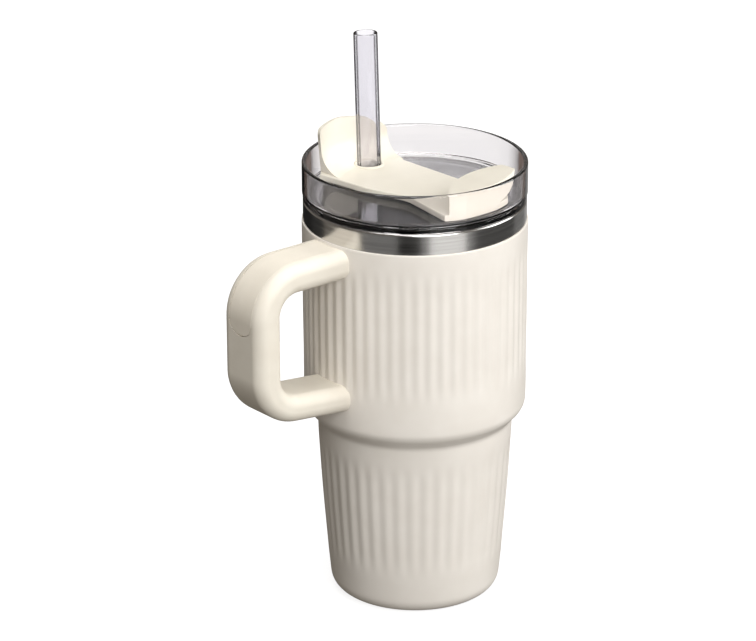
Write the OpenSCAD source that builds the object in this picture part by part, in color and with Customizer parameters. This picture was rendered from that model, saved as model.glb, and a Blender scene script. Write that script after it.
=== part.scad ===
// Insulated tumbler with a carrying handle, a clear push-in lid, a turning cover and a straw.
// Millimetres. The origin is on the cup's axis at its base, +Z is up.
// The handle points along -X and the straw stands on the +Y side.

/* [Cup] */
// Height of the cup's mouth
cup_h = 166; // [160:0.5:172]
// Radius of the upper body
body_r = 44.6; // [43.5:0.1:46]
// Radius of the lower body just under the shoulder
waist_r = 38.85; // [37:0.05:40]
// Height where the shoulder starts, above the lower body
waist_z = 72.9; // [68:0.1:76]
// How much the lower body narrows towards the base
taper = 4.7; // [3:0.1:6]
// Radius of the rounded base edge
base_round = 6.6; // [4:0.1:8]
// Sheet thickness of the walls
sheet_t = 0.6; // [0.5:0.1:1.2]
// Width of the evacuated gap between the two walls at the lower body
vacuum_gap = 3.4; // [2.6:0.1:4.4]
// Height of the bare steel band at the mouth
band_h = 8.4; // [6:0.1:12]
// Radius of the bare steel band
band_r = 44.1; // [43.4:0.1:44.6]
// Inside radius of the mouth
mouth_r = 39.7; // [39:0.1:40.2]

/* [Handle] */
// How far the handle reaches from the cup's axis
handle_reach = 87.4; // [80:0.1:92]
// Width of the handle
handle_w = 23.4; // [20:0.1:28]
// Thickness of the upright grip
grip_t = 12.6; // [9:0.05:14]
// Top of the upper arm
handle_top_z = 156.3; // [152:0.1:157]
// Thickness of the upper arm
upper_arm_t = 12.1; // [10.5:0.1:13]
// Underside of the lower arm at the cup
lower_arm_z = 88.7; // [86:0.1:92]
// Thickness of the lower arm
lower_arm_t = 11; // [10:0.1:12]
// Edge radius of the handle's section
handle_edge_r = 4.8; // [3:0.1:4.8]
// Radius of the outer corners
handle_corner_r = 21.5; // [16:0.1:24]
// Half the width of the soft inlay
inlay_half_w = 6.8; // [5:0.1:6.8]
// Height of the inlay's rounded lower end
inlay_end_z = 129.4; // [124:0.1:132]
// Thickness of the inlay
inlay_t = 1.2; // [0.8:0.1:2]
// Distance of the handle screws from the cup's axis
screw_x = 53; // [51:0.5:56]

/* [Lid] */
// Height of the lid's rim
lid_rim_z = 181.6; // [179:0.1:184]
// Radius of the clear collar
collar_r = 44.4; // [44:0.1:45]
// Thickness of the clear collar
collar_t = 1.8; // [1.6:0.1:3]
// Height of the groove that runs around the lid
groove_z = 168.4; // [167.6:0.1:170]
// Top of the lid's deck
deck_z = 168.7; // [168.2:0.1:169]
// Thickness of the deck
deck_t = 2.2; // [1.8:0.1:2.6]
// Radius of the plug that enters the mouth
plug_r = 39; // [38.6:0.1:39.1]
// Length of the plug below the deck
plug_h = 10.5; // [8:0.5:14]
// Width of the curved slot that the straw passes
slot_w = 13; // [12:0.5:14]

/* [Cover] */
// Thickness of the turning cover's plate
plate_t = 2.6; // [2:0.1:3.2]
// Gap between the deck and the plate
plate_gap = 0.5; // [0.4:0.1:0.8]
// Outer radius of the cover
cover_r = 39.6; // [38.5:0.1:40.4]
// Top of the splash wall behind the straw
scoop_top_z = 190.5; // [184:0.5:192]
// How far the splash wall reaches away from the handle
scoop_right = 15; // [12:0.5:18]
// How far the splash wall reaches towards the handle
scoop_left = 20; // [16:0.5:22]
// Top of the finger tab
tab_top_z = 180; // [178:0.5:181]
// Radius of the pivot boss
boss_r = 4; // [3.5:0.1:4.5]

/* [Straw] */
// Outer radius of the straw
straw_r = 4.8; // [4.4:0.1:5]
// Wall of the straw
straw_wall = 0.95; // [0.6:0.05:1.1]
// Distance of the straw from the cup's axis at the cover
straw_y = 28.3; // [28:0.1:28.6]
// Lean of the straw's upper end away from the cup's axis, in degrees
straw_lean = 2.12; // [1:0.01:2.5]
// Height of the straw's upper end
straw_top_z = 226.2; // [215:0.2:235]
// Height of the straw's lower end
straw_bottom_z = 9; // [8:0.5:14]

/* [Hidden] */
$fn = 96;

eps = 0.02;
run_gap = 0.05;
coat_z = cup_h - band_h;
low_z = 84;
full_z = 118;
shoulder_r = body_r - 0.4;
crease_r = 4;
bulge_r = 6;
foot_r = waist_r - taper - base_round;
foot_in_r = foot_r - 3;
base_z = 1.6;
floor_z = 6.8;
floor_round = 8;
plate_z = deck_z + plate_gap;
cover_z = plate_z + plate_t;
lid_z = cup_h + run_gap;
deck_under_z = deck_z - deck_t;
plug_z = deck_under_z - plug_h;
gasket_z = plug_z + 3;
gasket_h = 3;
straw_cross_z = 172;
straw_slope = tan(straw_lean);
shade_cream = [0.93, 0.90, 0.84];
shade_steel = [0.72, 0.72, 0.72];
shade_smoke = [0.42, 0.39, 0.38, 0.55];
shade_rubber = [0.85, 0.83, 0.80];

// Points of an arc about [x, z], from angle a0 to a1
function arc(x, z, r, a0, a1, steps) =
  [for (i = [0:steps]) let (a = a0 + (a1 - a0) * i / steps) [x + r * cos(a), z + r * sin(a)]];

function reversed(list) = [for (i = [len(list) - 1:-1:0]) list[i]];

// Radius of the lower body at height z: it bulges slightly as it narrows
function lower_r(z) =
  waist_r - taper * pow((waist_z - z) / (waist_z - base_round), 1.44);

function lower_wall(z0, z1, inset, steps) =
  [for (i = [0:steps]) let (z = z0 + (z1 - z0) * i / steps) [lower_r(z) - inset, z]];

// Shoulder between the lower and the upper body, moved inwards by inset
function shoulder(inset) = concat(
  arc(waist_r + crease_r - inset, waist_z, crease_r, 180, 135, 4),
  arc(shoulder_r - bulge_r - inset, low_z - 1.5, bulge_r, -45, 0, 5)
);

function shell_outside(inset) = concat(
  arc(foot_r, base_round, base_round - inset, -90, 0, 8),
  lower_wall(base_round + 6, waist_z - 3, inset, 8),
  shoulder(inset),
  [[body_r - inset, full_z], [body_r - inset, coat_z]]
);

module outer_shell() {
  color(shade_cream)
    rotate_extrude()
      polygon(concat(
        [[foot_in_r, base_z], [foot_in_r + sheet_t, 0]],
        shell_outside(0),
        reversed(shell_outside(sheet_t)),
        [[foot_in_r + 2 * sheet_t, sheet_t], [foot_in_r + sheet_t, base_z + sheet_t],
         [foot_in_r, base_z + sheet_t]]
      ));
}

// Bare steel mouth: the outer wall turns in and is welded to the liner
module rim_band() {
  round_r = 0.6;
  liner_r = mouth_r + sheet_t;
  color(shade_steel)
    rotate_extrude()
      polygon(concat(
        [[band_r, coat_z]],
        arc(band_r - round_r, cup_h - round_r, round_r, 0, 90, 4),
        [[liner_r, cup_h], [liner_r, cup_h - sheet_t], [band_r - sheet_t, cup_h - sheet_t],
         [band_r - sheet_t, coat_z]]
      ));
}

function liner_side(offset) =
  let (inset = sheet_t + vacuum_gap + offset, step = mouth_r + sheet_t - offset)
  concat(
    lower_wall(floor_z + floor_round, waist_z - 3, inset, 6),
    [[waist_r - inset, waist_z], [step - 3, low_z - 5], [step, low_z - 1.5], [step, cup_h]]
  );

function liner_floor(offset) =
  let (r = lower_r(floor_z + floor_round) - sheet_t - vacuum_gap - offset,
       round_r = floor_round + sheet_t - offset)
  arc(r - round_r, floor_z + floor_round, round_r, -90, 0, 6);

module inner_liner() {
  color(shade_steel)
    rotate_extrude()
      polygon(concat(
        [[0, floor_z - sheet_t]],
        liner_floor(0), liner_side(0),
        reversed(liner_side(sheet_t)), reversed(liner_floor(sheet_t)),
        [[0, floor_z]]
      ));
}

module base_plate() {
  dish_r = 12;
  color(shade_steel)
    translate([0, 0, base_z])
      rotate_extrude()
        polygon([[0, 0.4], [dish_r - 1, 0.4], [dish_r, 0], [foot_in_r, 0], [foot_in_r, sheet_t],
                 [dish_r, sheet_t], [dish_r - 1, sheet_t + 0.4], [0, sheet_t + 0.4]]);
}

// Bead that closes the hole through which the air was drawn out
module vacuum_seal() {
  color(shade_steel)
    translate([0, 0, base_z - 0.4])
      cylinder(h = 0.8, r1 = 2.6, r2 = 3.2);
}

module getter_pellet() {
  color("dimgray")
    translate([0, 10, floor_z - sheet_t - 1.6])
      cylinder(h = 1.6, r = 4);
}

// Handle outline: pairs of an outer and an inner point, from the upper arm down to the lower arm
inner_corner_r = 8;
lower_corner_r = 9;
arm_slope = 6;
arm_start_x = -40;
upper_z = handle_top_z - upper_arm_t;
outer_x = -handle_reach;
inner_x = -handle_reach + grip_t;
top_arc = [outer_x + handle_corner_r, handle_top_z - handle_corner_r];
top_inner_arc = [inner_x + inner_corner_r, upper_z - inner_corner_r];
// Rise of the lower arm from the cup to a place x on it
function arm_rise(x) = (-44.5 - x) * tan(arm_slope);
low_arc_z = lower_arm_z + arm_rise(outer_x + handle_corner_r) + handle_corner_r / cos(arm_slope);
low_arc = [outer_x + handle_corner_r, low_arc_z];
low_inner_z = lower_arm_z + lower_arm_t + arm_rise(inner_x + lower_corner_r)
  + lower_corner_r / cos(arm_slope);
low_inner_arc = [inner_x + lower_corner_r, low_inner_z];

function blend(a, b, steps) = [for (i = [0:steps - 1]) a + (b - a) * i / steps];

function handle_outer() = concat(
  blend([arm_start_x, handle_top_z], [top_arc.x, handle_top_z], 3),
  arc(top_arc.x, top_arc.y, handle_corner_r, 90, 180, 10),
  blend([outer_x, top_arc.y - 1], [outer_x, low_arc.y], 10),
  arc(low_arc.x, low_arc.y, handle_corner_r, 180, 270 - arm_slope, 10),
  [[arm_start_x, lower_arm_z + arm_rise(arm_start_x)]]
);

function handle_inner() = concat(
  blend([arm_start_x, upper_z], [top_inner_arc.x, upper_z], 3),
  arc(top_inner_arc.x, top_inner_arc.y, inner_corner_r, 90, 180, 10),
  blend([inner_x, top_inner_arc.y - 1], [inner_x, low_inner_arc.y], 10),
  arc(low_inner_arc.x, low_inner_arc.y, lower_corner_r, 180, 270 - arm_slope, 10),
  [[arm_start_x, lower_arm_z + lower_arm_t + arm_rise(arm_start_x)]]
);

// Ring of a rounded rectangle between an outer point p and an inner point q
function section_ring(p, q) =
  let (t = norm(p - q), out = (p - q) / t, mid = (p + q) / 2,
       r = min(handle_edge_r, t / 2 - 0.05), a = t / 2 - r, b = handle_w / 2 - r)
  [for (c = [0:3], i = [0:5])
    let (ang = 90 * c + 18 * i, sx = (c == 0 || c == 3) ? 1 : -1, sy = (c < 2) ? 1 : -1,
         depth = sx * a + r * cos(ang), side = sy * b + r * sin(ang))
    [mid.x + out.x * depth, side, mid.y + out.y * depth]];

// Solid through a list of rings that all have the same number of points
module loft(rings) {
  n = len(rings[0]);
  last = len(rings) - 1;
  points = [for (ring = rings) each ring];
  sides = [for (k = [0:last - 1], i = [0:n - 1])
    let (a = k * n + i, b = k * n + (i + 1) % n) each [[a, b + n, b], [a, a + n, b + n]]];
  polyhedron(points, concat(
    sides,
    [[for (i = [0:n - 1]) i]],
    [[for (i = [n - 1:-1:0]) last * n + i]]
  ), convexity = 6);
}

module handle_blank() {
  outside = handle_outer();
  inside = handle_inner();
  loft([for (i = [0:len(outside) - 1]) section_ring(outside[i], inside[i])]);
}

// Half width of the inlay at height z: a straight strip with a round end
function inlay_half(z) =
  let (k = (inlay_end_z + inlay_half_w - z) / inlay_half_w)
  k <= 0 ? inlay_half_w : inlay_half_w * sqrt(max(0.004, 1 - k * k));

// Strip that follows the handle's outer face; grow widens it and lets it stand out
module inlay_strip(grow, proud) {
  face = concat(
    [for (p = handle_outer()) if (p.y > inlay_end_z + inlay_half_w) p],
    [for (i = [0:8]) [outer_x, inlay_end_z + inlay_half_w * (1 - sin(i * 90 / 8))]]
  );
  ahead = [for (i = [0:len(face) - 1]) face[min(i + 1, len(face) - 1)] - face[max(i - 1, 0)]];
  loft([for (i = [0:len(face) - 1])
    let (p = face[i], d = ahead[i] / norm(ahead[i]), out = [d.y, -d.x],
         w = inlay_half(p.y) + grow, hi = p + out * proud, lo = p - out * (inlay_t + grow))
    [[hi.x, w, hi.y], [lo.x, w, lo.y], [lo.x, -w, lo.y], [hi.x, -w, hi.y]]]);
}

// Space taken by the cup's wall, which the handle and the brackets are cut to
module cup_space() {
  rotate_extrude()
    polygon(concat(
      [[0, low_z - 4]],
      [[shoulder_r + eps, low_z - 4], [body_r + eps, full_z], [body_r + eps, cup_h], [0, cup_h]]
    ));
}

bracket_w = 12;
bracket_t = 3;
bracket_end = screw_x + 6;
upper_bracket_z = upper_z + 4.8;
lower_bracket_z = lower_arm_z + 5.4;
thread_r = 1.75;
head_r = 3.2;
head_h = 2.2;
plug_t = 1.1;

// Welded foot and tab that the handle is pushed over; grow makes its pocket
module bracket_blank(z, grow) {
  translate([-bracket_end - grow, -bracket_w / 2 - grow, z - grow])
    cube([bracket_end - 40, bracket_w + 2 * grow, bracket_t + 2 * grow]);
  translate([-47.5 - grow, -bracket_w / 2 - 1 - grow, z - 1 - grow])
    cube([7.5, bracket_w + 2 + 2 * grow, bracket_t + 2 + 2 * grow]);
}

module bracket(z) {
  color(shade_steel)
    difference() {
      bracket_blank(z, 0);
      cup_space();
      translate([-screw_x, 0, z - 1])
        cylinder(h = bracket_t + 2, r = thread_r);
    }
}

module upper_bracket() { bracket(upper_bracket_z); }

module lower_bracket() { bracket(lower_bracket_z); }

screw_seats = [upper_bracket_z - 0.6, lower_bracket_z - 0.6];

module handle_core() {
  color(shade_cream)
    difference() {
      handle_blank();
      cup_space();
      inlay_strip(0.08, 0.6);
      bracket_blank(upper_bracket_z, 0.15);
      bracket_blank(lower_bracket_z, 0.15);
      for (z = screw_seats)
        translate([-screw_x, 0, z]) {
          cylinder(h = 4.6, r = thread_r + 0.15, $fn = 32);
          translate([0, 0, -head_h - 6])
            cylinder(h = head_h + 6, r = head_r + 0.15, $fn = 32);
        }
    }
}

module grip_inlay() {
  color([0.90, 0.87, 0.80])
    difference() {
      inlay_strip(0, 0);
      cup_space();
    }
}

module handle_screws() {
  color(shade_steel)
    for (z = screw_seats)
      translate([-screw_x, 0, z]) {
        cylinder(h = 0.6 + bracket_t, r = thread_r);
        difference() {
          translate([0, 0, -head_h])
            cylinder(h = head_h, r = head_r);
          translate([0, 0, -head_h - eps])
            cylinder(h = 1.4, r = 1.4, $fn = 6);
        }
      }
}

module screw_plugs() {
  color(shade_cream)
    for (z = screw_seats)
      translate([-screw_x, 0, z - head_h - plug_t - 0.05])
        cylinder(h = plug_t, r = head_r + 0.1);
}

// Curved slot in the deck; a is the angle from +Y towards the handle
slot_from = -11;
slot_to = 26;
module slot_outline() {
  intersection() {
    difference() {
      circle(r = straw_y + slot_w / 2);
      circle(r = straw_y - slot_w / 2);
    }
    polygon([[0, 0], 60 * [-sin(slot_from), cos(slot_from)],
             80 * [-sin((slot_from + slot_to) / 2), cos((slot_from + slot_to) / 2)],
             60 * [-sin(slot_to), cos(slot_to)]]);
  }
  for (a = [slot_from, slot_to])
    translate(straw_y * [-sin(a), cos(a)])
      circle(d = slot_w);
}

module lid_body() {
  lip_r = collar_t / 2;
  in_r = collar_r - collar_t;
  ledge_z = deck_z + 0.9;
  groove_r = plug_r - 1.1;
  color(shade_smoke)
    difference() {
      rotate_extrude()
        polygon(concat(
          [[plug_r, lid_z], [band_r, lid_z], [band_r, groove_z - 0.4],
           [band_r - 0.5, groove_z - 0.2], [band_r - 0.5, groove_z + 0.2], [collar_r, groove_z + 0.5]],
          arc(collar_r - lip_r, lid_rim_z - lip_r, lip_r, 0, 180, 8),
          [[in_r - 0.2, ledge_z + 0.6], [in_r - 0.8, ledge_z], [in_r - 1.9, ledge_z],
           [in_r - 2.3, deck_z], [0, deck_z], [0, deck_under_z],
           [plug_r - 2, deck_under_z], [plug_r - 2, plug_z], [plug_r - 0.4, plug_z],
           [plug_r, plug_z + 0.6], [plug_r, gasket_z], [groove_r, gasket_z],
           [groove_r, gasket_z + gasket_h], [plug_r, gasket_z + gasket_h]]
        ));
      translate([0, 0, deck_under_z - 1])
        linear_extrude(deck_t + 2)
          slot_outline();
      translate([0, 0, deck_under_z - 1])
        cylinder(h = deck_t + 2, r = boss_r + run_gap);
      translate([0, 0, deck_z - 0.8])
        cylinder(h = 2, r = boss_r + 1.6);
    }
}

module lid_gasket() {
  in_r = plug_r - 1.1 + eps;
  lip_r = mouth_r - run_gap;
  z0 = gasket_z + eps;
  color(shade_rubber)
    rotate_extrude()
      polygon([[in_r, z0], [plug_r - 0.1, z0], [lip_r, z0 + 0.5], [plug_r, z0 + 1.2],
               [plug_r, z0 + 1.6], [lip_r, z0 + 2.3], [plug_r - 0.1, z0 + gasket_h - 2 * eps],
               [in_r, z0 + gasket_h - 2 * eps]]);
}

// Moves what is drawn about the z axis onto the straw's axis
module on_straw_axis() {
  translate([0, straw_y, straw_cross_z])
    rotate([-straw_lean, 0, 0])
      translate([0, 0, -straw_cross_z])
        children();
}

// Outline of the cover's plate: a bridge across the lid that flares at the tab end
module plate_outline() {
  intersection() {
    circle(r = cover_r);
    polygon([[14, 45], [14.2, 25], [16.2, -6.4], [18.5, -45], [-19, -45], [-15.6, -36.2],
             [-12.4, -9.9], [-18.3, 5.5], [-20.7, 22.3], [-24, 45]]);
  }
}

// Outline of the finger tab: a lens between the collar and the plate
module tab_outline() {
  intersection() {
    circle(r = cover_r - 0.05);
    translate([15.2, -58.5]) circle(r = 36.3);
    translate([4, -30]) circle(r = 21.5);
  }
}

// Splash wall seen along the y axis: upright sides, a crowned top and round corners
module scoop_outline() {
  corner_r = 4;
  low = cover_z - 3 * corner_r;
  offset(r = corner_r, $fn = 48)
    offset(delta = -corner_r)
      polygon([[scoop_right, low], [scoop_right, scoop_top_z - 7], [6, scoop_top_z - 2.3],
               [-8, scoop_top_z + 0.2], [-scoop_left - 3.4, scoop_top_z - 0.1],
               [-scoop_left, cover_z], [-scoop_left, low]]);
}

// Splash wall behind the straw: an arc of wall that sweeps down to the plate
module scoop() {
  sweep_r = 9;
  wall = 1.3;
  out_r = cover_r - 0.05;
  foot = out_r - wall - sweep_r;
  intersection() {
    rotate([0, 0, 55])
      rotate_extrude(angle = 80)
        polygon(concat(
          [[foot, cover_z - 1], [out_r, cover_z - 1], [out_r, scoop_top_z + 1],
           [out_r - wall, scoop_top_z + 1]],
          arc(foot, cover_z + sweep_r, sweep_r, 0, -80, 5)
        ));
    rotate([90, 0, 180])
      linear_extrude(60)
        mirror([1, 0])
          scoop_outline();
  }
}

seal_r = 8.4;
grommet_r = 6;
module rotating_cover() {
  color(shade_cream)
    difference() {
      union() {
        translate([0, 0, plate_z])
          linear_extrude(plate_t)
            plate_outline();
        translate([0, 0, cover_z - 0.5])
          linear_extrude(tab_top_z - cover_z + 0.5)
            tab_outline();
        scoop();
        translate([0, 0, deck_under_z - 0.3])
          cylinder(h = plate_z - deck_under_z + 0.5, r = boss_r);
      }
      on_straw_axis()
        translate([0, 0, plate_z - 5])
          cylinder(h = 40, r = grommet_r);
      translate([0, straw_y, plate_z - 1])
        cylinder(h = 1.8, r = seal_r);
      translate([0, 0, deck_under_z - 1])
        cylinder(h = 5, r = 1.5);
    }
}

// Soft ring under the plate that wipes the deck around the straw
module cover_seal() {
  color(shade_rubber)
    difference() {
      translate([0, straw_y, deck_z + run_gap])
        cylinder(h = plate_gap + 0.7, r = seal_r - 0.05);
      on_straw_axis()
        translate([0, 0, deck_z - 5])
          cylinder(h = 10, r = grommet_r + 0.1);
    }
}

module straw_grommet() {
  color(shade_rubber)
    on_straw_axis()
      translate([0, 0, plate_z - 0.1])
        difference() {
          cylinder(h = plate_t, r = grommet_r - eps);
          translate([0, 0, -1])
            cylinder(h = plate_t + 2, r = straw_r + run_gap);
        }
}

module pivot_o_ring() {
  section_r = 0.6;
  color(shade_rubber)
    translate([0, 0, deck_z - 0.8 + section_r + eps])
      rotate_extrude()
        translate([boss_r + section_r + run_gap, 0])
          circle(r = section_r, $fn = 24);
}

module pivot_washer() {
  color(shade_steel)
    translate([0, 0, deck_under_z - 0.3 - 0.8])
      difference() {
        cylinder(h = 0.8, r = 7);
        translate([0, 0, -1])
          cylinder(h = 3, r = 1.6);
      }
}

module pivot_screw() {
  head_z = deck_under_z - 1.1;
  color(shade_steel) {
    translate([0, 0, head_z - 1.8])
      difference() {
        cylinder(h = 1.8, r = 3);
        translate([0, 0, -eps])
          cylinder(h = 1, r = 1.2, $fn = 6);
      }
    translate([0, 0, head_z])
      cylinder(h = 4.5, r = 1.5);
  }
}

module straw() {
  color([0.80, 0.80, 0.82, 0.5])
    on_straw_axis()
      translate([0, 0, straw_bottom_z])
        difference() {
          cylinder(h = straw_top_z - straw_bottom_z, r = straw_r);
          translate([0, 0, -1])
            cylinder(h = straw_top_z - straw_bottom_z + 2, r = straw_r - straw_wall);
        }
}

outer_shell();
rim_band();
inner_liner();
base_plate();
vacuum_seal();
getter_pellet();
upper_bracket();
lower_bracket();
handle_core();
grip_inlay();
handle_screws();
screw_plugs();
lid_body();
lid_gasket();
rotating_cover();
cover_seal();
straw_grommet();
pivot_o_ring();
pivot_washer();
pivot_screw();
straw();
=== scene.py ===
from math import atan2, cos, degrees, hypot, pi, radians, sin, sqrt, tan

import bmesh
import bpy
from mathutils import Matrix, Vector


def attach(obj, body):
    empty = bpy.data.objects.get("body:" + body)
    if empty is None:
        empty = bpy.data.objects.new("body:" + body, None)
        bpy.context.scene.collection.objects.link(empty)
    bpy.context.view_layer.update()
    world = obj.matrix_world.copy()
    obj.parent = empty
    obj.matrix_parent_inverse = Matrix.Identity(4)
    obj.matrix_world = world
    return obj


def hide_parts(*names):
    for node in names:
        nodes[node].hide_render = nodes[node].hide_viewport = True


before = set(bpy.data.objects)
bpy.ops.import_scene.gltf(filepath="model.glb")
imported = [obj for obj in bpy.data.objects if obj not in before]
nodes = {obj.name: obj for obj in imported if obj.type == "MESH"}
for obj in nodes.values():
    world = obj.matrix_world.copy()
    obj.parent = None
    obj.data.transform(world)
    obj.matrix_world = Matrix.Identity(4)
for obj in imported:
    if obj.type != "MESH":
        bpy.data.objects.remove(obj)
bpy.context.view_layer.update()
mm = 0.001

scene = bpy.context.scene
scene.view_settings.view_transform = "Standard"


# Tools for modelling
def deselect():
    if bpy.context.mode != "OBJECT":
        bpy.ops.object.mode_set(mode="OBJECT")
    bpy.ops.object.select_all(action="DESELECT")


def startPiece(name):
    piece = bpy.context.object
    piece.name = name
    piece.data.name = name
    bpy.ops.object.transform_apply(location=True, rotation=True, scale=True)
    bpy.ops.object.mode_set(mode="EDIT")
    bpy.ops.mesh.select_mode(type="VERT")
    bpy.ops.mesh.select_all(action="SELECT")
    return piece


def pick(kind, test):
    # kind is verts, edges or faces; the test gets the element itself
    mesh = bmesh.from_edit_mesh(bpy.context.edit_object.data)
    bpy.ops.mesh.select_mode(type={"verts": "VERT", "edges": "EDGE", "faces": "FACE"}[kind])
    bpy.ops.mesh.select_all(action="DESELECT")
    for element in getattr(mesh, kind):
        if test(element):
            element.select_set(True)
    mesh.select_flush_mode()
    bmesh.update_edit_mesh(bpy.context.edit_object.data)


def middle(element):
    total = Vector()
    for vert in element.verts:
        total += vert.co
    return total / len(element.verts)


def extrude(x, y, z):
    bpy.ops.mesh.extrude_region_move(TRANSFORM_OT_translate={"value": (x, y, z)})


def weld():
    bpy.ops.mesh.select_all(action="SELECT")
    bpy.ops.mesh.remove_doubles(threshold=0.002 * mm)
    bpy.ops.mesh.normals_make_consistent(inside=False)


def only(piece):
    # selects this piece and nothing else
    deselect()
    bpy.context.view_layer.objects.active = piece
    piece.select_set(True)


def settle(piece):
    # puts the piece's place and turn into its mesh
    only(piece)
    bpy.ops.object.transform_apply(location=True, rotation=True, scale=True)


def modify(piece, kind, **settings):
    only(piece)
    modifier = piece.modifiers.new(kind, kind)
    for key, value in settings.items():
        setattr(modifier, key, value)
    bpy.ops.object.modifier_apply(modifier=modifier.name)


def smooth(piece, angle=None):
    only(piece)
    if angle is None:
        bpy.ops.object.shade_smooth()
    else:
        bpy.ops.object.shade_smooth_by_angle(angle=radians(angle))
        modify(piece, "WEIGHTED_NORMAL", keep_sharp=True)


def remove(piece):
    only(piece)
    bpy.ops.object.delete()


def cutWith(piece, cutter, operation="DIFFERENCE"):
    modify(piece, "BOOLEAN", object=cutter, operation=operation, solver="EXACT")
    remove(cutter)


def arc(x, z, radius, start, end, steps):
    angles = [radians(start + (end - start) * i / steps) for i in range(steps + 1)]
    return [(x + radius * cos(a), z + radius * sin(a)) for a in angles]


def turnRings(profile):
    # extrudes the selected ring along the profile, one ring at each point
    for (r0, z0), (r1, z1) in zip(profile, profile[1:]):
        extrude(0, 0, (z1 - z0) * mm)
        bpy.ops.transform.resize(value=(r1 / r0, r1 / r0, 1), center_override=(0, 0, z1 * mm))


def turned(name, profile, around, turn=0.0):
    # a turned piece: the profile is a list of radius and height in mm
    deselect()
    r0, z0 = profile[0]
    bpy.ops.mesh.primitive_circle_add(
        vertices=around, radius=r0 * mm, location=(0, 0, z0 * mm), rotation=(0, 0, radians(turn))
    )
    piece = startPiece(name)
    turnRings(profile)
    return piece


def dress(piece, body, material, slotName, *replaced):
    if not piece.data.materials:
        piece.data.materials.append(material)
    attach(piece, body)
    if replaced:
        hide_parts(*replaced)
    if material.name.startswith("clear"):
        piece.visible_shadow = False  # clear plastic lets the lamps through


# Finishes: what each material looks like
def noiseNode(tree, place, scale, detail=3.0, stretch=(1, 1, 1)):
    mapping = tree.nodes.new("ShaderNodeMapping")
    mapping.inputs["Scale"].default_value = stretch
    tree.links.new(place.outputs["Object"], mapping.inputs["Vector"])
    noise = tree.nodes.new("ShaderNodeTexNoise")
    noise.inputs["Scale"].default_value = scale
    noise.inputs["Detail"].default_value = detail
    tree.links.new(mapping.outputs["Vector"], noise.inputs["Vector"])
    return noise


def makeFinish(name, look):
    material = bpy.data.materials.new(name)
    material.use_nodes = True
    tree = material.node_tree
    shader = tree.nodes["Principled BSDF"]
    for socket, value in look["shader"].items():
        shader.inputs[socket].default_value = value
    place = tree.nodes.new("ShaderNodeTexCoord")
    stretch = look.get("stretch", (1, 1, 1))

    blotches = noiseNode(tree, place, look["blotchScale"], 4.0, stretch)
    ramp = tree.nodes.new("ShaderNodeValToRGB")
    ramp.color_ramp.elements[0].position = 0.35
    ramp.color_ramp.elements[1].position = 0.68
    ramp.color_ramp.elements[0].color = (*look["colour"], 1)
    ramp.color_ramp.elements[1].color = (*look["secondColour"], 1)
    tree.links.new(blotches.outputs["Fac"], ramp.inputs["Fac"])
    tree.links.new(ramp.outputs["Color"], shader.inputs["Base Color"])

    grain = noiseNode(tree, place, look["grainScale"], 2.0, stretch)
    wear = tree.nodes.new("ShaderNodeMapRange")
    wear.inputs["From Min"].default_value = 0.3
    wear.inputs["From Max"].default_value = 0.7
    wear.inputs["To Min"].default_value = look["roughness"][0]
    wear.inputs["To Max"].default_value = look["roughness"][1]
    tree.links.new(blotches.outputs["Fac"], wear.inputs["Value"])
    tree.links.new(wear.outputs["Result"], shader.inputs["Roughness"])

    bump = tree.nodes.new("ShaderNodeBump")
    bump.inputs["Strength"].default_value = look["bump"]
    bump.inputs["Distance"].default_value = look["grainDepth"]
    tree.links.new(grain.outputs["Fac"], bump.inputs["Height"])
    tree.links.new(bump.outputs["Normal"], shader.inputs["Normal"])
    return material


def makeClear(name, look):
    # clear plastic: its tint deepens where it is seen edge on, and painted shade takes it near black
    # there in place of dark reflections; it has faint mould marks
    material = bpy.data.materials.new(name)
    material.use_nodes = True
    tree = material.node_tree
    shader = tree.nodes["Principled BSDF"]
    shader.inputs["IOR"].default_value = look["ior"]
    shader.inputs["Transmission Weight"].default_value = 1.0

    edge = tree.nodes.new("ShaderNodeLayerWeight")
    edge.inputs["Blend"].default_value = 0.5
    ramp = tree.nodes.new("ShaderNodeValToRGB")
    ramp.color_ramp.elements[0].position = look["edgeFrom"]
    ramp.color_ramp.elements[1].position = look["edgeTo"]
    ramp.color_ramp.elements[0].color = (*look["colour"], 1)
    ramp.color_ramp.elements[1].color = (*look["paintedEdgeShade"], 1)
    tree.links.new(edge.outputs["Facing"], ramp.inputs["Fac"])
    tree.links.new(ramp.outputs["Color"], shader.inputs["Base Color"])

    place = tree.nodes.new("ShaderNodeTexCoord")
    marks = noiseNode(tree, place, look["markScale"], 3.0)
    haze = tree.nodes.new("ShaderNodeMapRange")
    haze.inputs["From Min"].default_value = 0.45
    haze.inputs["From Max"].default_value = 0.75
    haze.inputs["To Min"].default_value = look["roughness"][0]
    haze.inputs["To Max"].default_value = look["roughness"][1]
    tree.links.new(marks.outputs["Fac"], haze.inputs["Value"])
    tree.links.new(haze.outputs["Result"], shader.inputs["Roughness"])
    return material


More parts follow.
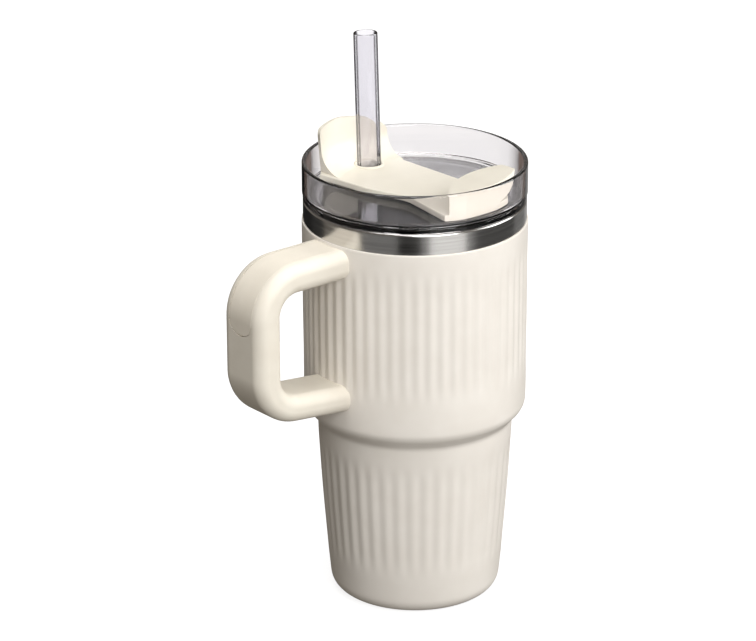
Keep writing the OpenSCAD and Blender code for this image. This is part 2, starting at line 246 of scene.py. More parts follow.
finishLooks = {
    "powderCoat": {
        "colour": (0.80, 0.757, 0.695),
        "secondColour": (0.825, 0.785, 0.725),
        "blotchScale": 90,
        "grainScale": 2600,
        "grainDepth": 0.00003,
        "bump": 0.35,
        "roughness": (0.44, 0.54),
        "shader": {"Specular IOR Level": 0.45},
    },
    "brushedSteel": {
        "colour": (0.60, 0.585, 0.57),
        "secondColour": (0.72, 0.71, 0.69),
        "blotchScale": 60,
        "grainScale": 240,
        "grainDepth": 0.000004,
        "bump": 0.4,
        "stretch": (0.35, 0.35, 12),
        "roughness": (0.16, 0.24),
        "shader": {"Metallic": 1.0},
    },
    "handlePlastic": {
        "colour": (0.765, 0.715, 0.62),
        "secondColour": (0.795, 0.75, 0.655),
        "blotchScale": 120,
        "grainScale": 1800,
        "grainDepth": 0.00002,
        "bump": 0.3,
        "roughness": (0.46, 0.56),
        "shader": {"Specular IOR Level": 0.4},
    },
    "softGrip": {
        "colour": (0.76, 0.705, 0.605),
        "secondColour": (0.79, 0.735, 0.635),
        "blotchScale": 150,
        "grainScale": 2200,
        "grainDepth": 0.00002,
        "bump": 0.4,
        "roughness": (0.58, 0.68),
        "shader": {"Specular IOR Level": 0.35},
    },
    "coverPlastic": {
        "colour": (0.68, 0.64, 0.55),
        "secondColour": (0.71, 0.67, 0.58),
        "blotchScale": 110,
        "grainScale": 1500,
        "grainDepth": 0.000015,
        "bump": 0.25,
        "roughness": (0.36, 0.46),
        "shader": {"Specular IOR Level": 0.45},
    },
    "silicone": {
        "colour": (0.70, 0.68, 0.65),
        "secondColour": (0.76, 0.74, 0.71),
        "blotchScale": 200,
        "grainScale": 1200,
        "grainDepth": 0.00002,
        "bump": 0.3,
        "roughness": (0.55, 0.65),
        "shader": {"Specular IOR Level": 0.4},
    },
    "getterMetal": {
        "colour": (0.10, 0.10, 0.11),
        "secondColour": (0.16, 0.16, 0.17),
        "blotchScale": 900,
        "grainScale": 2500,
        "grainDepth": 0.00005,
        "bump": 0.6,
        "roughness": (0.6, 0.8),
        "shader": {"Metallic": 0.4},
    },
}

# each clear look's edge colour is painted shade: the near-black colour the plastic takes where it is
# seen edge on
clearLooks = {
    "clearLid": {
        "colour": (0.79, 0.77, 0.78),
        "paintedEdgeShade": (0.035, 0.021, 0.016),
        "edgeFrom": 0.50,
        "edgeTo": 0.72,
        "roughness": (0.015, 0.04),
        "markScale": 60,
        "ior": 1.46,
    },
    # the deck's copy of the clear plastic is much darker than the collar's: painted shade for the dim
    # cup inside below it
    "paintedShadeDeck": {
        "colour": (0.25, 0.25, 0.27),
        "paintedEdgeShade": (0.16, 0.15, 0.15),
        "edgeFrom": 0.55,
        "edgeTo": 0.85,
        "roughness": (0.05, 0.1),
        "markScale": 80,
        "ior": 1.46,
    },
    "clearStraw": {
        "colour": (0.84, 0.83, 0.86),
        "paintedEdgeShade": (0.012, 0.011, 0.014),
        "edgeFrom": 0.38,
        "edgeTo": 0.54,
        "roughness": (0.01, 0.03),
        "markScale": 120,
        "ior": 1.45,
    },
}

finishes = {name: makeFinish(name, look) for name, look in finishLooks.items()}
finishes.update({name: makeClear(name, look) for name, look in clearLooks.items()})
print("finishes made:", len(finishes))

# The cup: coat, steel band and liner, sizes in mm
cup = {
    "bodyRadius": 44.6,
    "shoulderRadius": 44.2,
    "waistRadius": 38.85,
    "waistHeight": 72.9,
    "shoulderHeight": 82.5,
    "seamHeight": 70.6,
    "creaseRound": 4.0,
    "shoulderRound": 6.0,
    "taper": 4.7,
    "baseRound": 6.6,
    "footRadius": 27.55,
    "footInside": 24.55,
    "coatTop": 157.6,
    "bandRadius": 44.1,
    "height": 166.0,
    "mouthRadius": 39.7,
    "wall": 0.6,
    "fluteDepth": 0.65,
    "upperFlutes": 56,
    "lowerFlutes": 43,
    "upperValley": 228.4,
    "lowerValley": 232.9,
    "vertsPerFlute": 4,
}

# how deep the flutes are at each ring, from none to full
upperFade = {
    94.0: 0, 96.5: 0.2, 99.0: 0.55, 102.0: 0.88, 106.0: 1, 114.0: 1, 122.0: 1, 130.0: 1,
    138.0: 1, 142.0: 0.88, 145.5: 0.55, 148.5: 0.2, 151.5: 0,
}
lowerFade = {
    16.0: 0, 18.5: 0.2, 21.0: 0.55, 24.0: 0.88, 28.0: 1, 36.0: 1, 44.0: 1, 52.0: 1,
    57.0: 1, 60.0: 0.88, 62.8: 0.55, 65.2: 0.2, 67.5: 0,
}


def lowerRadius(z):
    share = (cup["waistHeight"] - z) / (cup["waistHeight"] - cup["baseRound"])
    return cup["waistRadius"] - cup["taper"] * max(share, 0) ** 1.44


def lowerProfile():
    inside, foot, rounding = cup["footInside"], cup["footRadius"], cup["baseRound"]
    profile = [(inside, 1.6), (inside + 0.15, 0.5), (inside + 0.7, 0.0), (foot - 1.2, 0.0)]
    profile += arc(foot, rounding, rounding, -90, 0, 7)
    profile += [(lowerRadius(z), z) for z in (9.0, 12.0, 14.2)]
    profile += [(lowerRadius(z), z) for z in lowerFade]
    profile += [(lowerRadius(z), z) for z in (69.2, cup["seamHeight"])]
    return profile


def upperProfile():
    crease, bulge = cup["creaseRound"], cup["shoulderRound"]
    shoulder = cup["shoulderHeight"]
    profile = arc(cup["waistRadius"] + crease, cup["waistHeight"], crease, 180, 135, 4)
    profile += arc(cup["shoulderRadius"] - bulge, shoulder, bulge, -45, 0, 5)
    profile += [(cup["shoulderRadius"] + 0.1, 87.0), (cup["shoulderRadius"] + 0.15, 91.0)]
    for z in upperFade:
        rise = min((z - shoulder) / 35.5, 1.0)
        profile.append((cup["shoulderRadius"] + 0.4 * rise, z))
    top = cup["coatTop"]
    profile += [(cup["bodyRadius"], z) for z in (154.0, 156.4, top - 0.35)]
    profile += [(cup["bodyRadius"] - 0.12, top)]
    return profile


def pressFlutes(fade, count, valley):
    step = 2 * pi / (count * cup["vertsPerFlute"])
    for height, share in fade.items():
        for place, depth in ((0, 1.0), (1, 0.5)):
            if not share:
                continue

            def inValley(vert):
                if abs(vert.co.z - height * mm) > 0.05 * mm:
                    return False
                k = round((atan2(vert.co.y, vert.co.x) - radians(valley)) / step)
                k %= cup["vertsPerFlute"]
                return min(k, cup["vertsPerFlute"] - k) == place

            pick("verts", inValley)
            scale = 1 - cup["fluteDepth"] * share * depth / cup["bodyRadius"]
            bpy.ops.transform.resize(value=(scale, scale, 1), center_override=(0, 0, height * mm))


def makeOuterShell():
    perFlute = cup["vertsPerFlute"]
    lower = turned(
        "coatLower", lowerProfile(), cup["lowerFlutes"] * perFlute, cup["lowerValley"] - 90
    )
    pressFlutes(lowerFade, cup["lowerFlutes"], cup["lowerValley"])
    deselect()
    upper = turned(
        "outerCoat", upperProfile(), cup["upperFlutes"] * perFlute, cup["upperValley"] - 90
    )
    pressFlutes(upperFade, cup["upperFlutes"], cup["upperValley"])
    deselect()
    lower.select_set(True)
    upper.select_set(True)
    bpy.context.view_layer.objects.active = upper
    bpy.ops.object.join()
    bpy.ops.object.mode_set(mode="EDIT")
    joinLow, joinHigh = cup["seamHeight"] * mm, cup["waistHeight"] * mm
    pick(
        "edges",
        lambda edge: len(edge.link_faces) == 1
        and joinLow - 0.1 * mm < middle(edge).z < joinHigh + 0.1 * mm,
    )
    bpy.ops.mesh.bridge_edge_loops()
    weld()
    bpy.ops.object.mode_set(mode="OBJECT")
    modify(upper, "SOLIDIFY", thickness=cup["wall"] * mm, offset=-1.0)
    modify(upper, "SUBSURF", levels=1, render_levels=1)
    smooth(upper)
    return upper


def makeRimBand():
    outside, top, wall = cup["bandRadius"], cup["height"], cup["wall"]
    inside = cup["mouthRadius"] + 0.6
    profile = [(outside, cup["coatTop"] - 1.5), (outside, 158.6), (outside, 161.5), (outside, 164.2)]
    profile += arc(outside - 0.9, top - 0.9, 0.9, 0, 90, 5)
    profile += [(inside + 1.2, top), (inside, top), (inside, top - wall)]
    profile += [(outside - wall - 0.6, top - wall), (outside - wall, top - wall - 0.6)]
    profile += [(outside - wall, cup["coatTop"] - 1.5), (outside, cup["coatTop"] - 1.5)]
    band = turned("steelBand", profile, 192)
    weld()
    bpy.ops.object.mode_set(mode="OBJECT")
    smooth(band, 35)
    return band


def makeLiner():
    top, wall, mouth = cup["height"], cup["wall"], cup["mouthRadius"]
    floorHeight, floorRound, inset = 6.8, 8.0, 4.0
    low = floorHeight + floorRound
    lowRadius = lowerRadius(low) - inset
    sideOut = [(lowerRadius(z) - inset, z) for z in (24.0, 36.0, 48.0, 60.0, 69.0)]
    sideOut += [(cup["waistRadius"] - inset, 72.9), (mouth + wall - 3, 79.0)]
    sideOut += [(mouth + wall, cup["shoulderHeight"])]
    sideIn = [(r - wall, z) for r, z in sideOut]
    profile = arc(lowRadius - floorRound, low, floorRound, -90, 0, 8) + sideOut
    profile += [(mouth + wall, top), (mouth + 0.15, top), (mouth, top - 0.3)]
    profile += sideIn[::-1]
    profile += arc(lowRadius - floorRound, low, floorRound - wall, 0, -90, 8)
    liner = turned("steelLiner", profile, 160)
    bpy.ops.mesh.edge_face_add()
    pick("edges", lambda edge: len(edge.link_faces) == 1)
    bpy.ops.mesh.edge_face_add()
    weld()
    bpy.ops.object.mode_set(mode="OBJECT")
    smooth(liner, 35)
    return liner


# The handle and its soft inlay, sizes in mm
handle = {
    "reach": 87.4,
    "width": 23.4,
    "gripThickness": 12.6,
    "top": 156.3,
    "upperArm": 12.1,
    "lowerArmUnderside": 88.7,
    "lowerArm": 11.0,
    "armSlope": 6.0,
    "slopeStart": -44.5,
    "root": -42.3,
    "outerRound": 21.5,
    "upperInnerRound": 8.0,
    "lowerInnerRound": 9.0,
    "edgeRound": 4.8,
    "inlayHalf": 6.8,
    "inlayEnd": 129.4,
    "inlayDepth": 1.2,
    "seam": 0.14,
}


def near(a, b, slack=0.05):
    return abs(a - b) < slack * mm


def addBlock(name, low, high):
    deselect()
    low, high = Vector(low) * mm, Vector(high) * mm
    bpy.ops.mesh.primitive_cube_add(size=1, location=(low + high) / 2, scale=high - low)
    return startPiece(name)


def alongY(edge):
    a, b = edge.verts
    return near(a.co.x, b.co.x) and near(a.co.z, b.co.z) and abs(a.co.y - b.co.y) > mm


def roundCorner(x, z, offset, segments):
    pick("edges", lambda e: alongY(e) and near(middle(e).x, x * mm) and near(middle(e).z, z * mm))
    bpy.ops.mesh.bevel(offset=offset * mm, segments=segments, affect="EDGES", clamp_overlap=False)


def inlayBlock(name, grow, proud):
    h = handle
    out, top = -h["reach"] - proud, h["top"] + proud
    depth = h["inlayDepth"] + proud + grow
    half = h["inlayHalf"] + grow
    strip = addBlock(name, (out + depth, -half, top - depth), (h["root"] + 0.2, half, top))
    pick("faces", lambda f: f.normal.x < -0.9)
    extrude(-depth * mm, 0, 0)
    pick("faces", lambda f: f.normal.z < -0.9 and middle(f).x < (out + depth) * mm)
    extrude(0, 0, (h["inlayEnd"] - grow - top + depth) * mm)
    bpy.ops.mesh.select_all(action="SELECT")
    bpy.ops.mesh.dissolve_limited(angle_limit=radians(1))
    roundCorner(out, top, h["outerRound"] + proud, 24)
    roundCorner(out + depth, top - depth, h["outerRound"] + proud - depth, 24)
    end = (h["inlayEnd"] - grow) * mm
    pick("edges", lambda e: near(middle(e).z, end) and abs(abs(middle(e).y) - half * mm) < 0.05 * mm)
    bpy.ops.mesh.bevel(offset=(half - 0.02) * mm, segments=10, affect="EDGES", clamp_overlap=False)
    return strip


def makeHandle():
    h = handle
    half = h["width"] / 2
    outer, inner = -h["reach"], -h["reach"] + h["gripThickness"]
    under = h["top"] - h["upperArm"]
    slope = tan(radians(h["armSlope"]))
    lowOuter = h["lowerArmUnderside"] + (h["slopeStart"] - outer) * slope
    lowInner = h["lowerArmUnderside"] + (h["slopeStart"] - inner) * slope
    core = addBlock("handleCore", (inner, -half, under), (h["root"], half, h["top"]))
    pick("faces", lambda f: f.normal.x < -0.9)
    extrude((outer - inner) * mm, 0, 0)
    pick("faces", lambda f: f.normal.z < -0.9 and middle(f).x < inner * mm)
    extrude(0, 0, (lowInner + h["lowerArm"] - under) * mm)
    extrude(0, 0, -h["lowerArm"] * mm)
    pick("verts", lambda v: near(v.co.x, outer * mm) and near(v.co.z, lowInner * mm))
    bpy.ops.transform.translate(value=(0, 0, (lowOuter - lowInner) * mm))
    pick("faces", lambda f: f.normal.x > 0.9 and middle(f).z < (lowInner + h["lowerArm"]) * mm)
    run = h["root"] - inner
    extrude(run * mm, 0, -run * slope * mm)
    bpy.ops.mesh.select_all(action="SELECT")
    bpy.ops.mesh.dissolve_limited(angle_limit=radians(1))
    halfTurn = tan(radians((90 - h["armSlope"]) / 2))
    roundCorner(outer, h["top"], h["outerRound"], 24)
    roundCorner(inner, under, h["upperInnerRound"], 16)
    roundCorner(outer, lowOuter, h["outerRound"] * halfTurn, 24)
    roundCorner(inner, lowInner + h["lowerArm"], h["lowerInnerRound"] * halfTurn, 16)
    pick(
        "edges",
        lambda e: all(abs(abs(v.co.y) - half * mm) < 0.05 * mm for v in e.verts)
        and e.verts[0].co.y * e.verts[1].co.y > 0
        and middle(e).x < (h["root"] - 0.1) * mm,
    )
    bpy.ops.mesh.bevel(
        offset=h["edgeRound"] * mm, segments=8, affect="EDGES", clamp_overlap=False
    )
    weld()
    bpy.ops.object.mode_set(mode="OBJECT")
    cutter = inlayBlock("inlayCutter", h["seam"], 0.6)
    weld()
    bpy.ops.object.mode_set(mode="OBJECT")
    cutWith(core, cutter)
    smooth(core, 35)
    return core


def makeInlay():
    h = handle
    strip = inlayBlock("softInlay", 0.0, 0.0)
    out, top, r = -h["reach"], h["top"], h["outerRound"]

    def onFace(vert):
        x, z = vert.co.x / mm, vert.co.z / mm
        if x < out + r and z > top - r:
            return abs(hypot(x - out - r, z - top + r) - r) < 0.15
        return abs(x - out) < 0.05 or abs(z - top) < 0.05

    pick(
        "edges",
        lambda e: all(onFace(v) for v in e.verts)
        and len(e.link_faces) == 2
        and e.calc_face_angle() > radians(60)
        and middle(e).x < (h["root"] - 1) * mm,
    )
    bpy.ops.mesh.bevel(offset=0.3 * mm, segments=3, affect="EDGES", clamp_overlap=False)
    weld()
    bpy.ops.object.mode_set(mode="OBJECT")
    smooth(strip, 35)
    return strip


coat = makeOuterShell()
dress(coat, "cup", finishes["powderCoat"], "powder_coat", "outer_shell")
band = makeRimBand()
dress(band, "cup", finishes["brushedSteel"], "steel", "rim_band")
liner = makeLiner()
dress(liner, "cup", finishes["brushedSteel"], "steel", "inner_liner")
print("cup made")
core = makeHandle()
dress(core, "cup", finishes["handlePlastic"], "handle_plastic", "handle_core")
inlay = makeInlay()
dress(inlay, "cup", finishes["softGrip"], "soft_grip", "grip_inlay")
print("handle made")

# The clear lid, sizes in mm
lid = {
    "rimHeight": 181.6,
    "collarRadius": 44.4,
    "collarWall": 1.8,
    "grooveHeight": 168.4,
    "grooveDepth": 0.5,
    "bottom": 166.05,
    "deckHeight": 168.7,
    "deckThickness": 2.2,
    "plugRadius": 39.0,
    "plugLength": 10.5,
    "pivotHole": 4.05,
    "pivotRecess": 5.6,
    "recessDepth": 0.8,
    "ledgeHeight": 0.9,
    "slotWidth": 13.0,
    "slotFrom": -11.0,
    "slotTo": 26.0,
    "slotRadius": 28.3,
}


def makeLid():
    d = lid
    ring, collar, wall = cup["bandRadius"], d["collarRadius"], d["collarWall"]
    inside = collar - wall
    deck, under = d["deckHeight"], d["deckHeight"] - d["deckThickness"]
    plug, plugFoot = d["plugRadius"], under - d["plugLength"]
    groove, lip = d["grooveHeight"], wall / 2
    ledge, hole, recess = deck + d["ledgeHeight"], d["pivotHole"], d["pivotRecess"]
    profile = [(ring - 0.4, d["bottom"]), (ring, d["bottom"] + 0.4), (ring, groove - 0.7)]
    profile += [(ring - 0.12, groove - 0.35), (ring - d["grooveDepth"], groove - 0.2)]
    profile += [(ring - d["grooveDepth"], groove + 0.2), (collar - 0.15, groove + 0.35)]
    profile += [(collar, groove + 0.6)]
    profile += arc(collar - lip, d["rimHeight"] - lip, lip, 0, 180, 12)
    profile += [(inside - 0.2, ledge + 0.6), (inside - 0.4, ledge + 0.2), (inside - 0.8, ledge)]
    profile += [(inside - 1.9, ledge), (inside - 2.15, ledge - 0.2), (inside - 2.3, deck)]
    profile += [(inside - 6, deck), (recess, deck), (recess, deck - d["recessDepth"])]
    profile += [(hole, deck - d["recessDepth"]), (hole, under)]
    profile += [(plug - 2.6, under), (plug - 2, under - 0.6), (plug - 2, plugFoot)]
    profile += [(plug - 0.4, plugFoot), (plug, plugFoot + 0.6), (plug, plugFoot + 3)]
    profile += [(plug - 1.1, plugFoot + 3), (plug - 1.1, plugFoot + 6), (plug, plugFoot + 6)]
    profile += [(plug, d["bottom"]), (ring - 0.4, d["bottom"])]
    body = turned("clearCollar", profile, 192)
    weld()
    bpy.ops.object.mode_set(mode="OBJECT")
    cutWith(body, slotCutter(under - 1, deck + 0.6))
    body.data.materials.append(finishes["clearLid"])
    body.data.materials.append(finishes["paintedShadeDeck"])
    # the deck's flat faces take the darker second copy, painted shade for the dim cup inside
    for face in body.data.polygons:
        flat = abs(face.normal.z) > 0.9
        if flat and face.center.z < (deck + 0.3) * mm and hypot(*face.center.xy) < (inside - 2) * mm:
            face.material_index = 1
    smooth(body, 35)
    return body


def slotCutter(low, high):
    # a block swept around the axis, half a slot width longer at each end
    d = lid
    half = d["slotWidth"] / 2
    start, sweep = radians(90 + d["slotFrom"]), radians(d["slotTo"] - d["slotFrom"])
    reach = half / d["slotRadius"]
    deselect()
    place = Vector((d["slotRadius"], 0, (low + high) / 2)) * mm
    bpy.ops.mesh.primitive_plane_add(size=2 * half * mm, location=place, rotation=(pi / 2, 0, 0))
    cutter = startPiece("slotCutter")
    bpy.ops.transform.resize(value=(1, 1, (high - low) / (2 * half)), center_override=place)
    bpy.ops.mesh.spin(steps=14, angle=sweep + 2 * reach, center=(0, 0, 0), axis=(0, 0, -1))
    weld()
    bpy.ops.object.mode_set(mode="OBJECT")
    cutter.rotation_euler = (0, 0, start - reach)
    settle(cutter)
    return cutter


lidBody = makeLid()
dress(lidBody, "lid", finishes["clearLid"], "lid_clear", "lid_body")
print("lid made")

# The turning cover and the straw, sizes in mm
cover = {
    "bottom": 169.2,
    "thickness": 2.6,
    "radius": 39.6,
    "edgeRound": 0.5,
    "rightSide": ((45, 14.0), (25, 14.2), (-6.4, 16.2), (-45, 18.5)),
    "leftSide": ((45, -24.0), (22.3, -20.7), (5.5, -18.3), (-9.9, -12.4), (-36.2, -15.6), (-45, -19.0)),
    "rows": 30,
    "strawHole": 5.4,
    "scoopTop": 190.5,
    "scoopWall": 1.3,
    "scoopFrom": 55.0,
    "scoopTurn": 80.0,
    "scoopSweep": 9.0,
    "scoopLeft": 20.0,
    "scoopRight": 15.0,
    "tabTop": 180.0,
    "tabOutline": (((15.2, -58.5), 36.3), ((4, -30), 21.5)),
    "tabLength": 25.2,
    "tabRound": 0.45,
}

straw = {
    "radius": 4.8,
    "wall": 0.95,
    "distance": 28.3,
    "crossHeight": 172.0,
    "lean": 2.12,
    "top": 226.2,
    "bottom": 9.0,
}


def sideAt(side, y):
    for (y0, x0), (y1, x1) in zip(side, side[1:]):
        if y0 >= y >= y1:
            return x0 + (x1 - x0) * (y0 - y) / (y0 - y1)


def makeCoverPlate():
    # rows of the outline, each an edge as wide as the plate is there
    c = cover
    rows = []
    for i in range(c["rows"] + 1):
        y = c["radius"] * cos(pi * i / c["rows"]) * 0.999
        half = sqrt(c["radius"] ** 2 - y * y)
        rows.append((y, max(-half, sideAt(c["leftSide"], y)), min(half, sideAt(c["rightSide"], y))))
    deselect()
    y, left, right = rows[0]
    top = c["bottom"] + c["thickness"]
    place = Vector(((left + right) / 2, y, top)) * mm
    bpy.ops.mesh.primitive_plane_add(size=(right - left) * mm, location=place)
    plate = startPiece("coverPlate")
    bpy.ops.transform.resize(value=(1, 0, 1), center_override=place)
    weld()
    pick("edges", lambda e: True)
    for (y0, left0, right0), (y1, left1, right1) in zip(rows, rows[1:]):
        extrude(((left1 + right1) - (left0 + right0)) / 2 * mm, (y1 - y0) * mm, 0)
        bpy.ops.transform.resize(
            value=((right1 - left1) / (right0 - left0), 1, 1),
            center_override=((left1 + right1) / 2 * mm, y1 * mm, top * mm),
        )
    bpy.ops.mesh.select_all(action="SELECT")
    extrude(0, 0, -c["thickness"] * mm)
    weld()
    pick(
        "edges",
        lambda e: len(e.link_faces) == 2
        and e.calc_face_angle() > radians(60)
        and near(e.verts[0].co.z, e.verts[1].co.z, 0.01),
    )
    bpy.ops.mesh.bevel(
        offset=c["edgeRound"] * mm, segments=3, affect="EDGES", clamp_overlap=False
    )
    weld()
    bpy.ops.object.mode_set(mode="OBJECT")
    return plate


def addDrum(name, centre, radius, low, high):
    deselect()
    place = Vector((*centre, (low + high) / 2)) * mm
    bpy.ops.mesh.primitive_cylinder_add(
        vertices=160, radius=radius * mm, depth=(high - low) * mm, location=place
    )
    piece = startPiece(name)
    bpy.ops.object.mode_set(mode="OBJECT")
    return piece


def makeTab():
    # a lens between the rim and the plate: three round outlines in common
    c = cover
    low, high = c["bottom"] + c["thickness"] - 0.6, c["tabTop"]
    tab = addDrum("fingerTab", (0, 0), c["radius"] - 0.05, low, high)
    for centre, radius in c["tabOutline"]:
        cutWith(tab, addDrum("tabCut", centre, radius, low, high), "INTERSECT")
    under = addBlock("tabUnder", (0, -45, low - 1), (40, -15, high + 1))
    bpy.ops.object.mode_set(mode="OBJECT")
    deselect()
    bpy.ops.mesh.primitive_cylinder_add(
        vertices=128,
        radius=mm,
        depth=60 * mm,
        location=(0, -30 * mm, high * mm),
        rotation=(pi / 2, 0, 0),
        scale=(c["tabLength"], high - low, 1),
    )
    belly = startPiece("tabBelly")
    bpy.ops.object.mode_set(mode="OBJECT")
    cutWith(under, belly)
    cutWith(tab, under)
    modify(tab, "BEVEL", width=c["tabRound"] * mm, segments=3, limit_method="ANGLE")
    return tab


def outlinePiece(name, points, place):
    # a face through the points, in mm; place turns a point into its three coordinates
    deselect()
    bpy.ops.mesh.primitive_plane_add(size=mm, location=Vector(place(*points[0])) * mm)
    piece = startPiece(name)
    bpy.ops.mesh.merge(type="CENTER")
    for a, b in zip(points, points[1:]):
        extrude(*((Vector(place(*b)) - Vector(place(*a))) * mm))
    bpy.ops.mesh.select_all(action="SELECT")
    bpy.ops.mesh.edge_face_add()
    pick("faces", lambda f: True)
    return piece


def makeScoop():
    c = cover
    out, foot, top = c["radius"] - 0.05, c["bottom"] + c["thickness"], c["scoopTop"]
    inner, sweep = out - c["scoopWall"], c["scoopSweep"]
    section = [(inner - sweep, foot - 0.9), (out - 0.5, foot - 0.9), (out, foot - 0.4)]
    section += [(out, foot + 3), (out, foot + 8), (out, top + 1), (inner, top + 1), (inner, foot + 12)]
    section += arc(inner - sweep, foot + sweep, sweep, 0, -88, 12)
    scoop = outlinePiece("splashScoop", section, lambda x, z: (x, 0, z))
    bpy.ops.mesh.spin(steps=80, angle=radians(c["scoopTurn"]), center=(0, 0, 0), axis=(0, 0, -1))
    weld()
    bpy.ops.object.mode_set(mode="OBJECT")
    scoop.rotation_euler = (0, 0, radians(c["scoopFrom"]))
    settle(scoop)

    left, right, low = -c["scoopLeft"], c["scoopRight"], foot - 12
    outline = [(right, low), (right, top - 7), (6, top - 2.3), (-8, top + 0.2)]
    outline += [(left - 3.4, top - 0.1), (left, foot), (left, low)]
    trim = outlinePiece("scoopTrim", outline, lambda x, z: (x, 5, z))
    extrude(0, 60 * mm, 0)
    weld()
    pick("edges", lambda e: alongY(e) and middle(e).z > (foot + 2) * mm)
    bpy.ops.mesh.bevel(offset=2.6 * mm, segments=8, affect="EDGES", clamp_overlap=True)
    bpy.ops.object.mode_set(mode="OBJECT")
    cutWith(scoop, trim, "INTERSECT")
    modify(scoop, "BEVEL", width=0.35 * mm, segments=3, limit_method="ANGLE")
    return scoop


def strawCutter(radius, low, high):
    deselect()
    lean = radians(straw["lean"])
    bpy.ops.mesh.primitive_cylinder_add(
        vertices=96,
        radius=radius * mm,
        depth=(high - low) * mm,
        location=(0, straw["distance"] * mm, (low + high) / 2 * mm),
        rotation=(-lean, 0, 0),
    )
    cutter = startPiece("strawCutter")
    bpy.ops.object.mode_set(mode="OBJECT")
    return cutter


def leanPiece(piece):
    # moves a piece made upright about the axis onto the straw's axis
    onAxis = (
        Matrix.Translation((0, straw["distance"] * mm, straw["crossHeight"] * mm))
        @ Matrix.Rotation(-radians(straw["lean"]), 4, "X")
        @ Matrix.Translation((0, 0, -straw["crossHeight"] * mm))
    )
    piece.matrix_world = onAxis
    settle(piece)


def makeStraw():
    s = straw
    out, inner = s["radius"], s["radius"] - s["wall"]
    mid = (out + inner) / 2
    half = s["wall"] / 2
    profile = arc(mid, s["bottom"] + half, half, -180, 0, 6)
    profile += [(out, z) for z in (60.0, 120.0, 172.0, 200.0)]
    profile += arc(mid, s["top"] - half, half, 0, 180, 8)
    profile += [(inner, z) for z in (200.0, 172.0, 120.0, 60.0)]
    profile += [profile[0]]
    tube = turned("clearStraw", profile, 64)
    weld()
    bpy.ops.object.mode_set(mode="OBJECT")
    leanPiece(tube)
    smooth(tube, 40)
    return tube


def makeGrommetLip():
    low, high = cover["bottom"], cover["bottom"] + cover["thickness"] + 0.5
    inner, out = straw["radius"] + 0.08, cover["strawHole"] + 0.6
    profile = [(inner, low), (out, low), (out, high - 0.5)]
    profile += arc(out - 0.4, high - 0.4, 0.4, 0, 90, 4)
    profile += arc(inner + 0.4, high - 0.4, 0.4, 90, 180, 4)
    profile += [(inner, low)]
    lip = turned("strawLip", profile, 96)
    weld()
    bpy.ops.object.mode_set(mode="OBJECT")
    leanPiece(lip)
    smooth(lip, 40)
    return lip


plate = makeCoverPlate()
cutWith(plate, makeTab(), "UNION")
cutWith(plate, makeScoop(), "UNION")
cutWith(plate, strawCutter(cover["strawHole"] + 0.6, 165, 176))
smooth(plate, 35)
dress(plate, "cover", finishes["coverPlastic"], "cover_plastic", "rotating_cover")
lip = makeGrommetLip()
dress(lip, "cover", finishes["coverPlastic"], "cover_plastic", "straw_grommet")
print("cover made")
tube = makeStraw()
dress(tube, "straw", finishes["clearStraw"], "straw_clear", "straw")
print("straw made")

# The small pieces are shown as they come from model.glb
nodeFinishes = {
    "brushedSteel": ("base_plate", "vacuum_seal", "upper_bracket", "lower_bracket",
                     "handle_screws", "pivot_washer", "pivot_screw"),
    "getterMetal": ("getter_pellet",),
    "handlePlastic": ("screw_plugs",),
    "silicone": ("lid_gasket", "cover_seal", "pivot_o_ring"),
}
for finishName, names in nodeFinishes.items():
    for name in names:
        nodes[name].data.materials.clear()
        nodes[name].data.materials.append(finishes[finishName])

# The studio: metres, degrees and watts
studio = {
    "cameraPlace": (-0.95178, -1.13428, 0.695),
    "cameraTurn": -40.0,
    "cameraPitch": 21.437,
    "focalLength": 190.476,
    "shiftX": -0.0488,
    "floorSize": 12.0,
    "floorGlow": 0.84,
    "frontPower": 13.4,
    "rightPower": 10.4,
    "topPower": 13.2,
    "backPower": 6.5,
    "worldLight": 0.165,
    "worldColour": (1.0, 0.91, 0.80, 1),
    "cardRadius": 0.30,
    "cardHeight": 0.13,
    # cards that only reflections see: from and to, in degrees to the right of the camera
    "cards": (
        (-180, -166, 0.45),
        (-166, -124, 0.012),
        (-124, -100, 0.03),
        (-52, -16, 0.20),
        (-16, 6, 0.012),
        (6, 14, 0.25),
        (14, 50, 1.0),
        (50, 58, 0.25),
        (58, 62, 0.12),
        (62, 116, 0.07),
        (116, 146, 0.2),
        (146, 180, 0.42),
    ),
}


def fromCamera(right, towards, up):
    # a place seen from the camera: metres to its right, towards it and up
    turn = radians(studio["cameraTurn"])
    rightWay = Vector((cos(turn), sin(turn), 0))
    towardsWay = Vector((sin(turn), -cos(turn), 0))
    return rightWay * right + towardsWay * towards + Vector((0, 0, up))


def aroundCamera(place):
    # degrees around the axis from the camera's side, to the right of it positive
    around = degrees(atan2(place.x, -place.y)) - studio["cameraTurn"]
    return (around + 180) % 360 - 180


def addLamp(name, place, target, size, power):
    deselect()
    bpy.ops.object.light_add(type="AREA", location=place)
    lamp = bpy.context.object
    lamp.name = name
    lamp.rotation_euler = (Vector(target) - Vector(place)).to_track_quat("-Z", "Y").to_euler()
    lamp.data.shape = "RECTANGLE"
    lamp.data.size, lamp.data.size_y = size
    lamp.data.energy = power
    return lamp


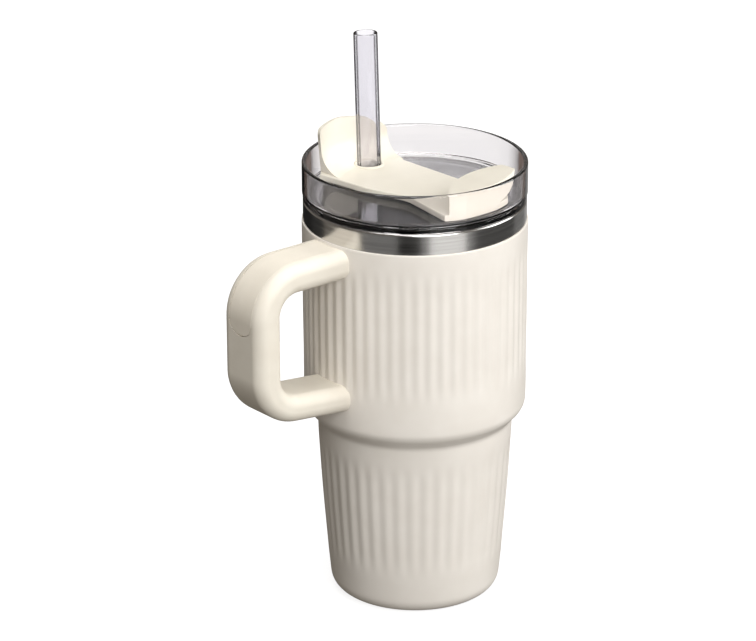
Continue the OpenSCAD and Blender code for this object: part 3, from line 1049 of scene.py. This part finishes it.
def makeStudio():
    deselect()
    bpy.ops.mesh.primitive_plane_add(size=studio["floorSize"], location=(0, 0, 0))
    floor = startPiece("floor")
    bpy.ops.object.mode_set(mode="OBJECT")
    paper = bpy.data.materials.new("floorPaper")
    paper.use_nodes = True
    shader = paper.node_tree.nodes["Principled BSDF"]
    shader.inputs["Base Color"].default_value = (0.3, 0.3, 0.3, 1)
    shader.inputs["Roughness"].default_value = 0.9
    shader.inputs["Specular IOR Level"].default_value = 0.1
    shader.inputs["Emission Color"].default_value = (1, 1, 1, 1)
    shader.inputs["Emission Strength"].default_value = studio["floorGlow"]
    floor.data.materials.append(paper)
    floor.visible_diffuse = False
    floor.visible_glossy = False
    floor.visible_shadow = False

    aim = (0, 0, 0.1)
    addLamp("frontLamp", fromCamera(0.42, 1.05, 0.62), aim, (0.9, 0.9), studio["frontPower"])
    addLamp("rightLamp", fromCamera(1.25, -0.1, 0.6), aim, (0.9, 0.9), studio["rightPower"])
    addLamp("topLamp", fromCamera(-0.15, 0.25, 1.5), aim, (0.9, 0.9), studio["topPower"])
    back = addLamp("backLamp", fromCamera(0.1, -1.3, 0.35), aim, (0.9, 0.9), studio["backPower"])
    back.visible_glossy = False

    world = bpy.data.worlds.new("studioWorld")
    scene.world = world
    world.use_nodes = True
    backdrop = world.node_tree.nodes["Background"]
    backdrop.inputs["Color"].default_value = studio["worldColour"]
    backdrop.inputs["Strength"].default_value = studio["worldLight"]

    camera = bpy.data.objects.new("camera", bpy.data.cameras.new("camera"))
    scene.collection.objects.link(camera)
    camera.location = studio["cameraPlace"]
    camera.rotation_euler = (
        radians(90 - studio["cameraPitch"]), 0, radians(studio["cameraTurn"])
    )
    camera.data.lens = studio["focalLength"]
    camera.data.sensor_width = 36
    camera.data.shift_x = studio["shiftX"]
    scene.camera = camera


def cardAt(place):
    around = aroundCamera(place)
    for index, (low, high, strength) in enumerate(studio["cards"]):
        if low <= around < high:
            return index
    return None


def makeCards():
    # a low ring of pale and dark cards, seen only in the steel and the glass
    deselect()
    bpy.ops.mesh.primitive_cylinder_add(
        vertices=180,
        radius=studio["cardRadius"],
        depth=studio["cardHeight"],
        location=(0, 0, studio["cardHeight"] / 2),
        end_fill_type="NOTHING",
    )
    ring = startPiece("reflectionCards")
    pick("faces", lambda f: cardAt(middle(f)) is None)
    bpy.ops.mesh.delete(type="FACE")
    bpy.ops.object.mode_set(mode="OBJECT")
    for index, (low, high, strength) in enumerate(studio["cards"]):
        card = bpy.data.materials.new(f"card{index}")
        card.use_nodes = True
        shader = card.node_tree.nodes["Principled BSDF"]
        shader.inputs["Base Color"].default_value = (0, 0, 0, 1)
        shader.inputs["Specular IOR Level"].default_value = 0
        shader.inputs["Emission Color"].default_value = (1, 0.99, 0.975, 1)
        shader.inputs["Emission Strength"].default_value = strength
        ring.data.materials.append(card)
    for face in ring.data.polygons:
        face.material_index = cardAt(face.center)
    ring.visible_camera = False
    ring.visible_diffuse = False
    ring.visible_transmission = False
    ring.visible_shadow = False


makeStudio()
makeCards()
print("studio made")
